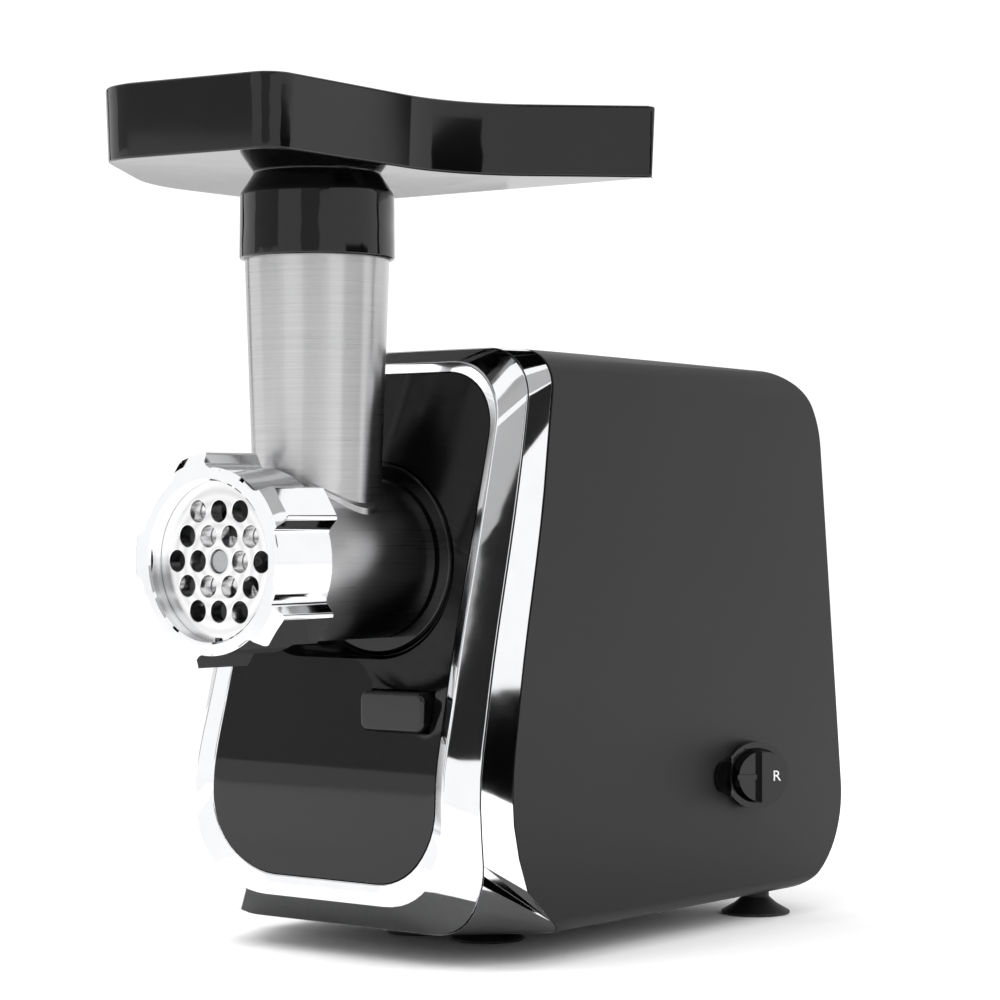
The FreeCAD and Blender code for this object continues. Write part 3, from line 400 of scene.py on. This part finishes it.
def brushed_stainless():
    """Brushed stainless: level scratches some 0.4 mm apart that smear reflections upright."""
    material, tree = start_material("brushed_stainless")
    place = add(tree, "ShaderNodeTexCoord")
    stretch = add(tree, "ShaderNodeMapping", {}, {"Vector": place.outputs["Object"],
                                                  "Scale": (18.0, 18.0, 1 / 0.0004)})
    line = add(tree, "ShaderNodeTexNoise", {}, {"Vector": stretch.outputs["Vector"],
                                                "Scale": 1.0, "Detail": 3.0, "Roughness": 0.65})
    tone = add(tree, "ShaderNodeMix", {"data_type": "RGBA"},
               {0: line.outputs["Fac"], 6: linear("#a8a8a9"), 7: linear("#c8c8c9")})
    dull = add(tree, "ShaderNodeMapRange", {}, {"Value": line.outputs["Fac"],
                                                "To Min": 0.24, "To Max": 0.34})
    relief = add(tree, "ShaderNodeBump", {}, {"Height": line.outputs["Fac"],
                                              "Strength": 0.2, "Distance": 0.00004})
    girth = add(tree, "ShaderNodeTangent", {"direction_type": "RADIAL", "axis": "Z"})
    shader = add(tree, "ShaderNodeBsdfPrincipled", {},
                 {"Base Color": tone.outputs[2], "Metallic": 1.0,
                  "Roughness": dull.outputs["Result"], "Normal": relief.outputs["Normal"],
                  "Anisotropic": 0.8, "Anisotropic Rotation": 0.25,
                  "Tangent": girth.outputs["Tangent"]})
    return close_material(material, shader)


def ground_steel():
    """Surface-ground steel: rings of grinding marks about 0.6 mm apart round the plate."""
    material, tree = start_material("ground_steel")
    low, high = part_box("grinding_plate")
    centre = (low + high) / 2
    place = add(tree, "ShaderNodeTexCoord")
    shift = add(tree, "ShaderNodeMapping", {}, {"Vector": place.outputs["Object"],
                                                "Location": -centre})
    wave_unit = 20           # a ring wave repeats this many times per unit of scale
    rings = add(tree, "ShaderNodeTexWave", {"wave_type": "RINGS", "rings_direction": "Y"},
                {"Vector": shift.outputs["Vector"], "Scale": 1 / 0.0006 / wave_unit,
                 "Distortion": 0.6, "Detail": 2.0})
    tone = add(tree, "ShaderNodeMix", {"data_type": "RGBA"},
               {0: rings.outputs["Fac"], 6: linear("#dcdcdd"), 7: linear("#ececec")})
    dull = add(tree, "ShaderNodeMapRange", {}, {"Value": rings.outputs["Fac"],
                                                "To Min": 0.16, "To Max": 0.26})
    shader = add(tree, "ShaderNodeBsdfPrincipled", {},
                 {"Base Color": tone.outputs[2], "Metallic": 1.0,
                  "Roughness": dull.outputs["Result"]})
    return close_material(material, shader)


plated_steel = bright_chrome("plated_steel", 0.00003)
finished("head_casting", "head_body", brushed_stainless(), 0.0004)
finished("ring_nut", "lugged_ring", plated_steel, 0.0006, 26.0)
plate_steel = ground_steel()
finished("grinding_plate", "hole_plate", plate_steel, 0.0003)
finished("cutting_blade", "cross_knife", plate_steel, 0.0002)


def cast_aluminium():
    """Pressure-cast aluminium, tumbled: a grey skin with a fine pebble of about 0.7 mm."""
    material, tree = start_material("cast_aluminium")
    place = add(tree, "ShaderNodeTexCoord")
    pebble = add(tree, "ShaderNodeTexNoise", {}, {"Vector": place.outputs["Object"],
                                                  "Scale": 1 / 0.0007, "Detail": 3.0})
    tone = add(tree, "ShaderNodeMix", {"data_type": "RGBA"},
               {0: pebble.outputs["Fac"], 6: linear("#9a9b9d"), 7: linear("#b9babc")})
    relief = add(tree, "ShaderNodeBump", {}, {"Height": pebble.outputs["Fac"],
                                              "Strength": 0.3, "Distance": 0.00006})
    shader = add(tree, "ShaderNodeBsdfPrincipled", {},
                 {"Base Color": tone.outputs[2], "Metallic": 1.0, "Roughness": 0.42,
                  "Normal": relief.outputs["Normal"]})
    return close_material(material, shader)


finished("feed_screw", "worm", cast_aluminium(), 0.0, 40.0)

# ---- food tray ---------------------------------------------------------------------------
# A loose gloss black moulding: a dish with a beak to the right, and a skirt that slips over
# the feed tube.
finished("food_tray", "tray_dish", gloss, 0.0008, merge=False)

# ---- knob --------------------------------------------------------------------------------
# Gloss black knob on a teardrop bezel. A bar for the fingers crosses its face; the reverse letter
# is printed in white.


def print_ink():
    """White pad-printing ink on plastic: thin, level and slightly chalky."""
    material, tree = start_material("print_ink")
    place = add(tree, "ShaderNodeTexCoord")
    speck = add(tree, "ShaderNodeTexNoise", {}, {"Vector": place.outputs["Object"],
                                                 "Scale": 1 / 0.0004})
    tone = add(tree, "ShaderNodeMix", {"data_type": "RGBA"},
               {0: speck.outputs["Fac"], 6: linear("#d8d8d8"), 7: linear("#f0f0f0")})
    shader = add(tree, "ShaderNodeBsdfPrincipled", {},
                 {"Base Color": tone.outputs[2], "Roughness": 0.5, "IOR": 1.5})
    return close_material(material, shader)


finished("knob_bezel", "bezel", gloss, 0.0007)
finished("switch_knob", "knob", gloss, 0.0006)
knob_joint = next(joint for joint in frame["record"]["behaviour"]["joints"]
                  if joint["name"] == "knob_turn")
FACE_HEIGHT = 0.0054     # from the bezel up to the knob's face
LETTER_HEIGHT = 0.0038
LETTER_ASIDE = 0.0053    # beside the finger bar
FONT_SIZE_PER_HEIGHT = 1.4
INK_DEPTH = 0.00006
ink = print_ink()
letter_curve = bpy.data.curves.new("reverse_letter", "FONT")
letter_curve.body = "R"
letter_curve.size = LETTER_HEIGHT * FONT_SIZE_PER_HEIGHT
letter_curve.extrude = INK_DEPTH
letter_curve.align_x = "CENTER"
letter_curve.align_y = "CENTER"
drawn = bpy.data.objects.new("letter_draft", letter_curve)
bpy.context.scene.collection.objects.link(drawn)
bpy.context.view_layer.update()
letter_mesh = bpy.data.meshes.new_from_object(
    drawn.evaluated_get(bpy.context.evaluated_depsgraph_get()))
bpy.data.objects.remove(drawn)
outward = Vector(knob_joint["axis"]).normalized()
upright = Vector((0, 0, 1))
rearward = upright.cross(outward)
seat = (Vector(knob_joint["pos_m"]) + outward * (FACE_HEIGHT + INK_DEPTH / 2)
        + rearward * LETTER_ASIDE)
letter_mesh.transform(Matrix.Translation(seat)
                      @ Matrix((rearward, upright, outward)).transposed().to_4x4())
letter_mesh.materials.clear()
letter_mesh.materials.append(ink)
letter = bpy.data.objects.new("reverse_letter", letter_mesh)
bpy.context.scene.collection.objects.link(letter)
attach(letter, "knob")

# ---- feet and cord bushing ---------------------------------------------------------------
# Soft black rubber, compression moulded: four suction feet pulled through the floor of the
# body, and the grommet that the mains lead passes through at the back.


def black_rubber():
    """Moulded rubber: deep matt black with a slight bloom in patches of about 6 mm."""
    material, tree = start_material("black_rubber")
    place = add(tree, "ShaderNodeTexCoord")
    bloom = add(tree, "ShaderNodeTexNoise", {}, {"Vector": place.outputs["Object"],
                                                 "Scale": 1 / 0.006, "Detail": 5.0})
    tone = add(tree, "ShaderNodeMix", {"data_type": "RGBA"},
               {0: bloom.outputs["Fac"], 6: linear("#0c0c0c"), 7: linear("#191919")})
    relief = add(tree, "ShaderNodeBump", {}, {"Height": bloom.outputs["Fac"],
                                              "Strength": 0.15, "Distance": 0.0001})
    shader = add(tree, "ShaderNodeBsdfPrincipled", {},
                 {"Base Color": tone.outputs[2], "Roughness": 0.62, "IOR": 1.52,
                  "Normal": relief.outputs["Normal"]})
    return close_material(material, shader)


rubber = black_rubber()
for corner in ("front_left", "front_right", "rear_left", "rear_right"):
    finished("foot_" + corner, "suction_foot_" + corner, rubber, 0.0004)
finished("cord_bushing", "grommet", rubber, 0.0005)

# ---- inner works -------------------------------------------------------------------------
# Everything behind the covers keeps its CAD shape and gets the finish of its own trade:
# moulded nylon, turned steel, sintered bronze, stacked laminations, enamelled copper.


def works_material(name, dark, light, grain, metallic, roughness, relief_depth, squash=(1, 1, 1)):
    """A plain workshop finish whose tone and relief follow one grain size, in metres."""
    material, tree = start_material(name)
    place = add(tree, "ShaderNodeTexCoord")
    stretch = add(tree, "ShaderNodeMapping", {}, {"Vector": place.outputs["Object"],
                                                  "Scale": squash})
    speck = add(tree, "ShaderNodeTexNoise", {}, {"Vector": stretch.outputs["Vector"],
                                                 "Scale": 1 / grain, "Detail": 3.0})
    tone = add(tree, "ShaderNodeMix", {"data_type": "RGBA"},
               {0: speck.outputs["Fac"], 6: linear(dark), 7: linear(light)})
    relief = add(tree, "ShaderNodeBump", {}, {"Height": speck.outputs["Fac"],
                                              "Strength": 0.3, "Distance": relief_depth})
    shader = add(tree, "ShaderNodeBsdfPrincipled", {},
                 {"Base Color": tone.outputs[2], "Metallic": metallic, "Roughness": roughness,
                  "Normal": relief.outputs["Normal"]})
    return close_material(material, shader)


WORKS = {
    "turned_steel": works_material("turned_steel", "#8d8f92", "#b4b6b9", 0.0006, 1.0, 0.3,
                                   0.00003, (0.1, 1, 0.1)),
    "sintered_bronze": works_material("sintered_bronze", "#8a6238", "#b0824c", 0.0004, 1.0, 0.48,
                                      0.00005),
    "white_nylon": works_material("white_nylon", "#dcdace", "#e9e7dd", 0.003, 0.0, 0.45, 0.00004),
    "black_nylon": works_material("black_nylon", "#151515", "#1e1e1e", 0.001, 0.0, 0.55, 0.00005),
    "black_rubber": rubber,
    "electrical_steel": works_material("electrical_steel", "#3c3e42", "#6c6f75", 0.0005, 1.0, 0.4,
                                       0.0001, (0.05, 1, 0.05)),
    "enamelled_copper": works_material("enamelled_copper", "#8c3f1b", "#c0642f", 0.0006, 1.0,
                                       0.3, 0.0001, (1, 0.1, 1)),
    "carbon": works_material("carbon", "#101010", "#242424", 0.0005, 0.0, 0.6, 0.00005),
    "board_laminate": works_material("board_laminate", "#0d4a2a", "#146338", 0.0008, 0.0, 0.35,
                                     0.00003),
    "component_resin": works_material("component_resin", "#1d2436", "#2b3550", 0.002, 0.0, 0.4,
                                      0.00003),
}
for entry in frame["record"]["subparts"]:
    if entry["material_slot"] in WORKS and entry["node"] not in shown_nodes:
        part = frame["nodes"][entry["node"]]
        part.data.materials.clear()
        part.data.materials.append(WORKS[entry["material_slot"]])
